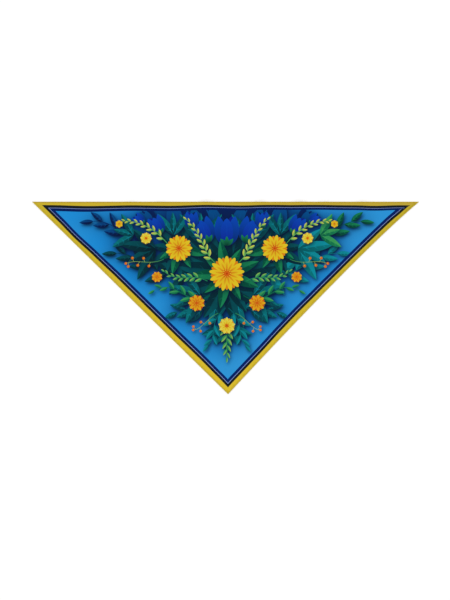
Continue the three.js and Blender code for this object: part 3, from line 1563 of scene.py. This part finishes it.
@dataclass(frozen=True)
class PrintedTwill:
    """Light printed twill: the print's dyes over fine diagonal ribs, almost matt."""

    layer: str = "print"
    roughness: float = 0.62
    relief: float = 0.3
    slub_scale: float = 900.0
    patch_scale: float = 26.0

    def material(self) -> bpy.types.Material:
        """Returns the material."""
        recipe = Recipe("printed_twill")
        place = recipe.place()
        dye = recipe.node("ShaderNodeVertexColor", {"layer_name": self.layer}, {}, "Color")
        ribs = recipe.ribs(place, RIB_PITCH)
        slubs = recipe.noise(place, self.slub_scale)
        uptake = recipe.noise(place, self.patch_scale, 3.0)
        # Slubs and patches take up the dye a little unevenly, and the ribs carry painted shade in
        # their grooves.
        tone = EXPOSURE * (0.91 + 0.04 * slubs + 0.04 * uptake + 0.08 * ribs)
        return recipe.finish(
            Base_Color=recipe.mixed("MULTIPLY", 1.0, dye, tone),
            Roughness=self.roughness + 0.1 * (uptake - 0.5),
            Normal=recipe.bumped(0.7 * ribs + 0.3 * slubs, self.relief),
            Specular_IOR_Level=CLOTH_SPECULAR,
        )


@dataclass(frozen=True)
class DyedCloth:
    """Plain dyed cloth or thread: one ink, a little uneven, with fine ribs."""

    name: str
    ink: Ink
    shade: Ink
    roughness: float = 0.7
    relief: float = 0.3
    patch_scale: float = 55.0

    def material(self) -> bpy.types.Material:
        """Returns the material."""
        recipe = Recipe(self.name)
        place = recipe.place()
        ribs = recipe.ribs(place, RIB_PITCH)
        patches = recipe.noise(place, self.patch_scale, 3.0)
        dyes = [(*(ink.linear() * EXPOSURE), 1.0) for ink in (self.ink, self.shade)]
        colour = recipe.mixed("MIX", patches * 0.8, *dyes)
        return recipe.finish(
            # The ribs carry painted shade in their grooves: darker low down, lighter on the crests.
            Base_Color=recipe.mixed("MULTIPLY", 1.0, colour, 0.94 + 0.1 * ribs),
            Roughness=self.roughness + 0.1 * (patches - 0.5),
            Normal=recipe.bumped(0.8 * ribs + 0.2 * patches, self.relief),
            Specular_IOR_Level=CLOTH_SPECULAR,
        )


@dataclass(frozen=True)
class PaleFloor:
    """A plain matt white floor."""

    albedo: float = 0.93
    grain: float = 0.01
    grain_scale: float = 3.0
    roughness: float = 0.9
    specular: float = 0.05

    def material(self) -> bpy.types.Material:
        """Returns the material."""
        recipe = Recipe("pale_floor")
        grain = recipe.noise(recipe.place(), self.grain_scale)
        tone = self.albedo + self.grain * (grain - 0.5)
        white = (1.0, 1.0, 1.0, 1.0)
        return recipe.finish(
            Base_Color=recipe.mixed("MULTIPLY", 1.0, white, tone),
            Roughness=self.roughness,
            Specular_IOR_Level=self.specular,
        )


# Sub-assemblies


def make_piece(name: str, points: Points, faces: Sequence[Sequence[int]]) -> bpy.types.Object:
    """Makes a smooth-shaded object.

    Args:
        name: The piece's name.
        points: Its points, in millimetres.
        faces: Its faces.

    Returns:
        The object.
    """
    mesh = bpy.data.meshes.new(name)
    mesh.from_pydata((np.asarray(points) * MM).tolist(), [], [list(face) for face in faces])
    mesh.shade_smooth()
    piece = bpy.data.objects.new(name, mesh)
    bpy.context.scene.collection.objects.link(piece)
    logger.info("%s: %d points, %d faces", name, len(mesh.vertices), len(mesh.polygons))
    return piece


def attach(piece: bpy.types.Object, slot: Slot, nodes: Iterable[str]) -> None:
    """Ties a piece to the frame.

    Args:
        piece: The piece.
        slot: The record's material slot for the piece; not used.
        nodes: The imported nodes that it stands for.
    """
    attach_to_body(piece, BODY)
    if nodes:
        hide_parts(*nodes)


@dataclass
class PrintedCloth:
    """The printed panel, a thin wall that ends inside the hems."""

    lay: Lay
    tuck: float = 2.2
    pitch: float = 5.0
    clearance: float = 1.2
    back_fade: float = 0.35
    back_grey: float = 0.5
    back_lift: float = 0.12
    map_scale: float = 0.98
    map_gap: float = 0.005

    def filling(self, rim: Points) -> Points:
        """Spreads points over the panel in a grid of triangles.

        Args:
            rim: The panel's edge.

        Returns:
            The points that are clear of the edge.
        """
        low, high = rim.min(0), rim.max(0)
        rows = np.arange(low[1], high[1], self.pitch * math.sqrt(3) / 2)
        points = []
        for k, y in enumerate(rows):
            x = np.arange(low[0] + (k % 2) * self.pitch / 2, high[0], self.pitch)
            points.append(np.column_stack([x, np.full(len(x), y)]))
        spread = np.vstack(points)
        inward = self.lay.outline.distance_in(spread)
        return spread[inward > self.tuck + self.clearance]

    @staticmethod
    def rim_of(triangles: Points) -> Points:
        """Follows the edges that only one triangle has.

        Args:
            triangles: The panel's triangles.

        Returns:
            The points of the panel's edge, anticlockwise.
        """
        edges = np.vstack([triangles[:, [k, (k + 1) % 3]] for k in range(3)])
        keys = np.sort(edges, axis=1)
        _, place, count = np.unique(keys, axis=0, return_index=True, return_counts=True)
        following = dict(edges[place[count == 1]].tolist())
        ring = [next(iter(following))]
        while following[ring[-1]] != ring[0]:
            ring.append(following[ring[-1]])
        return np.array(ring)

    def dress(self, piece: bpy.types.Object, plan: Points, colours: Points, back: Points) -> None:
        """Dyes the piece and lays out its bake map: the face in one half, the back in the other.

        Args:
            piece: The panel.
            plan: The plan places of its face corners.
            colours: The colour of each face corner.
            back: Which of them are on the back.
        """
        mesh = piece.data
        layer = mesh.color_attributes.new("print", "FLOAT_COLOR", "CORNER")
        layer.data.foreach_set("color", np.column_stack([colours, np.ones(len(colours))]).ravel())
        span = self.lay.outline.long_edge
        share = self.map_scale * (plan / span + [0, self.lay.outline.depth / span / 2])
        u = share[:, 0] * self.map_scale + 0.5
        v = 0.5 + np.where(back, -1, 1) * (self.map_gap + share[:, 1])
        mesh.uv_layers.new(name="OFBake").data.foreach_set("uv", np.column_stack([u, v]).ravel())
        mesh.materials.append(PrintedTwill().material())

    def struck(self, artwork: Print, middles: Points, owners: Points, plan: Points) -> Points:
        """Works out the dyes that strike through to the back.

        Args:
            artwork: The print.
            middles: The middles of the face's triangles.
            owners: Each triangle's shape.
            plan: The back's points.

        Returns:
            The linear colour at each point of the back.
        """
        tree = KDTree(len(middles))
        for k, middle in enumerate(middles.tolist()):
            tree.insert((*middle, 0.0), k)
        tree.balance()
        nearest = [tree.find((*place, 0.0))[1] for place in plan.tolist()]
        through = artwork.colours(middles, owners)[nearest]
        pale = through.mean(axis=1, keepdims=True) * self.back_grey + self.back_lift
        return through + (pale - through) * self.back_fade

    def build(self) -> bpy.types.Object:
        """Makes the panel.

        Returns:
            The piece.
        """
        artwork = Print(self.lay.outline)
        rim = self.lay.outline.loop(self.tuck)
        filling = self.filling(rim)
        plan, triangles, owners = artwork.divide(rim, filling)
        ring = self.rim_of(triangles)
        back_plan, back_triangles, back_ring = artwork.plain(plan[ring], filling)
        top = np.column_stack([plan, self.lay.underside(plan) + self.lay.wall])
        bottom = np.column_stack([back_plan, self.lay.underside(back_plan)])
        below = back_ring + len(plan)
        walls = np.column_stack([np.roll(ring, -1), ring, below, np.roll(below, -1)])
        undersides = back_triangles[:, ::-1] + len(plan)
        points = np.vstack([top, bottom])
        faces = triangles.tolist() + undersides.tolist() + walls.tolist()
        piece = make_piece("printed_cloth", points, faces)

        loops = np.zeros(len(piece.data.loops), np.int64)
        piece.data.loops.foreach_get("vertex_index", loops)
        places = points[loops, :2]
        front_end = 3 * len(triangles)
        back_end = front_end + 3 * len(back_triangles)
        struck = self.struck(artwork, plan[triangles].mean(axis=1), owners, back_plan)
        colours = np.tile(Ink.YELLOW_LEFT_TIP.linear(), (len(loops), 1))
        colours[:front_end] = artwork.colours(places[:front_end], np.repeat(owners, 3))
        colours[front_end:back_end] = struck[loops[front_end:back_end] - len(plan)]
        self.dress(piece, places, colours, loops >= len(plan))
        attach(piece, Slot.CLOTH, ["cloth"])
        return piece


@dataclass
class RolledHem:
    """One edge's hem: the cloth rolled to a slim cord and sewn down."""

    lay: Lay
    edge: Edge
    inks: tuple[Ink, Ink] = (Ink.HEM_LEG, Ink.HEM_LEG_PALE)
    section: int = 14
    squareness: tuple[float, float] = (0.8, 0.75)
    inner_slope: float = 0.16
    plumpness: float = 0.93
    mitre_gap: float = 0.06
    pinch: float = 0.12
    stations_per_stitch: int = 4
    stitch_pitch: float = 3.0
    stitch_length: float = 2.2
    stitch_sides: int = 5
    stitch_level: float = 0.83
    stitch_arch: tuple[float, ...] = (-0.3, 0.06, 0.12, 0.06, -0.3)
    stitch_taper: tuple[float, ...] = (0.7, 1.0, 1.0, 1.0, 0.7)
    thread: float = 0.17
    seam_across: float = 0.7

    @property
    def length(self) -> float:
        """Returns the edge's length."""
        corners = self.lay.outline.corners
        return float(np.linalg.norm(corners[self.edge.end] - corners[self.edge.start]))

    def profile(self) -> Points:
        """Draws the roll's section: plump outside, flatter where it is sewn.

        Returns:
            Each point's share of the width in from the outer edge, and of the height.
        """
        angles = around(self.section) + math.pi
        wide, high = self.squareness
        across = 0.5 + 0.5 * np.sign(np.cos(angles)) * np.abs(np.cos(angles)) ** wide
        up = 0.5 + 0.5 * np.sign(np.sin(angles)) * np.abs(np.sin(angles)) ** high
        return np.column_stack([across, up * (1 - self.inner_slope * across**2)])

    def frame_at(self, shares: Points, across: float) -> tuple[Points, Points]:
        """Finds places on the hem.

        Args:
            shares: Shares of the edge's length.
            across: The share of the hem's width in from its outer edge.

        Returns:
            The places' plan points and the floor of the hem there.
        """
        outline = self.lay.outline
        insets = outline.even_insets(self.lay.hem_width)
        start = outline.corner(self.edge.start, insets)
        end = outline.corner(self.edge.end, insets)
        chord = outline.corners[self.edge.end] - outline.corners[self.edge.start]
        t = shares[:, None]
        outer = outline.curve(self.edge, shares)
        bowed = outer - (outline.corners[self.edge.start] + chord * t)
        inner = start + (end - start) * t + bowed
        middle = outer + (inner - outer) * 0.5
        return outer + (inner - outer) * across, self.lay.ripple_lift(middle)

    def build(self) -> bpy.types.Object:
        """Makes the hem.

        Returns:
            The piece.
        """
        trim = self.mitre_gap / self.length
        stations = int(round(self.length / self.stitch_pitch)) * self.stations_per_stitch + 1
        shares = np.linspace(trim, 1 - trim, stations)
        travel = shares * self.length
        pulled = self.pinch * np.cos(math.pi * travel / self.stitch_pitch) ** 4
        # Two waves of unlike length, in millimetres, make the roll a little uneven.
        uneven = 0.025 * np.sin(travel / 11) + 0.02 * np.sin(travel / 4.3 + 2)
        rings = []
        for across, up in self.profile():
            plan, floor = self.frame_at(shares, across)
            height = self.lay.hem_height * up * (1 - pulled) * (self.plumpness + uneven)
            rings.append(np.column_stack([plan, floor + height]))
        points = np.stack(rings, axis=1).reshape(-1, 3)
        faces = tube_faces(stations, self.section)
        piece = make_piece(f"hem_{self.edge.name}_roll", points, faces)
        piece.data.materials.append(DyedCloth("hem_twill", *self.inks).material())
        attach(piece, Slot.HEM, [f"hem_{self.edge.name}"])
        return piece

    def stitches(self) -> bpy.types.Object:
        """Makes the row of stitches, which stays clear of the corners.

        Returns:
            The piece.
        """
        steps = len(self.stitch_arch)
        tube = tube_faces(steps, self.stitch_sides)
        _, inwards = self.lay.outline.directions(self.edge)
        level = self.lay.hem_height * self.stitch_level
        points = []
        faces: list[list[int]] = []
        for k in range(int(self.length / self.stitch_pitch) - 2):
            middle = (k + 1.5) * self.stitch_pitch
            travel = middle + self.stitch_length * np.linspace(-0.5, 0.5, steps)
            plan, floor = self.frame_at(travel / self.length, self.seam_across)
            first = len(points)
            for place, ground, arch, taper in zip(plan, floor, self.stitch_arch, self.stitch_taper):
                thick = self.thread * taper
                for angle in around(self.stitch_sides):
                    side = inwards * thick * math.cos(angle)
                    height = ground + level + arch + thick * math.sin(angle)
                    points.append([*(place + side), height])
            faces += [[first + corner for corner in face] for face in tube]
        piece = make_piece(f"hem_{self.edge.name}_stitches", np.array(points), faces)
        piece.data.materials.append(DyedCloth("thread", Ink.THREAD, self.inks[0]).material())
        attach(piece, Slot.HEM, [])
        return piece


def tube_faces(rings: int, sides: int) -> list[list[int]]:
    """Joins rings of points into a closed tube.

    Args:
        rings: How many rings there are.
        sides: How many points each has, anticlockwise as seen from the tube's end.

    Returns:
        The faces, with both ends closed.
    """
    faces = []
    for i in range(rings - 1):
        for k in range(sides):
            here, beside = i * sides + k, i * sides + (k + 1) % sides
            faces.append([here, beside, beside + sides, here + sides])
    last = (rings - 1) * sides
    faces.append([last + k for k in range(sides)])
    faces.append(list(reversed(range(sides))))
    return faces


@dataclass
class Studio:
    """The floor, the light and the camera."""

    floor_side: float = 30.0
    lens: float = 85.0
    sensor: float = 36.0
    frame_height: int = 600
    frame_width: int = 450
    cloth_pixels: float = 386.9
    cloth_left: float = 32.1
    cloth_top: float = 201.8
    world_strength: float = 0.84
    sun_strength: float = 1.0
    sun_tilt: float = 30.0
    sun_turn: float = 25.0
    sun_spread: float = 30.0

    def floor(self) -> bpy.types.Object:
        """Makes the floor just under the cloth."""
        half = self.floor_side / 2 / MM
        corners = np.array([[-half, -half, 0], [half, -half, 0], [half, half, 0], [-half, half, 0]])
        piece = make_piece("floor", corners, [[0, 1, 2, 3]])
        piece.data.materials.append(PaleFloor().material())
        return piece

    def light(self) -> None:
        """Fills the studio with even white light and a broad soft key from the upper left."""
        world = bpy.data.worlds.new("studio")
        world.use_nodes = True
        background = world.node_tree.nodes["Background"]
        background.inputs["Color"].default_value = (1.0, 1.0, 1.0, 1.0)
        background.inputs["Strength"].default_value = self.world_strength
        bpy.context.scene.world = world
        sun = bpy.data.lights.new("key", "SUN")
        sun.energy = self.sun_strength
        sun.angle = math.radians(self.sun_spread)
        lamp = bpy.data.objects.new("key", sun)
        lamp.rotation_euler = (math.radians(self.sun_tilt), 0.0, math.radians(self.sun_turn + 180))
        bpy.context.scene.collection.objects.link(lamp)

    def camera(self, outline: Outline) -> None:
        """Hangs the camera straight above the cloth.

        Args:
            outline: The cloth's outline.
        """
        pixel = outline.long_edge / self.cloth_pixels
        height = pixel * self.frame_height * self.lens / self.sensor * MM
        middle_x = self.cloth_left + self.cloth_pixels / 2 - self.frame_width / 2
        top_y = self.frame_height / 2 - self.cloth_top
        data = bpy.data.cameras.new("camera")
        data.lens = self.lens
        data.sensor_width = self.sensor
        camera = bpy.data.objects.new("camera", data)
        camera.location = (-middle_x * pixel * MM, (outline.depth / 2 - top_y * pixel) * MM, height)
        bpy.context.scene.collection.objects.link(camera)
        bpy.context.scene.camera = camera

    def build(self, outline: Outline) -> None:
        """Sets the studio up.

        Args:
            outline: The cloth's outline.
        """
        self.camera(outline)
        self.floor()
        self.light()
        bpy.context.scene.view_settings.view_transform = "Standard"


def main() -> None:
    """Builds the neckerchief and its studio."""
    outline = Outline()
    lay = Lay(outline)
    cloth = PrintedCloth(lay).build()
    trims = []
    for edge in outline.edges:
        hem = RolledHem(lay, edge)
        # The long edge's hem takes darker inks, a painted shade of its roll.
        if edge.name == "top":
            hem.inks = (Ink.HEM_TOP_SHADED, Ink.HEM_TOP_SHADED_PALE)
        trims += [hem.build(), hem.stitches()]
    Studio().build(outline)


if __name__ == "__main__":
    logging.basicConfig(level=logging.INFO, format="%(name)s: %(message)s")
    main()
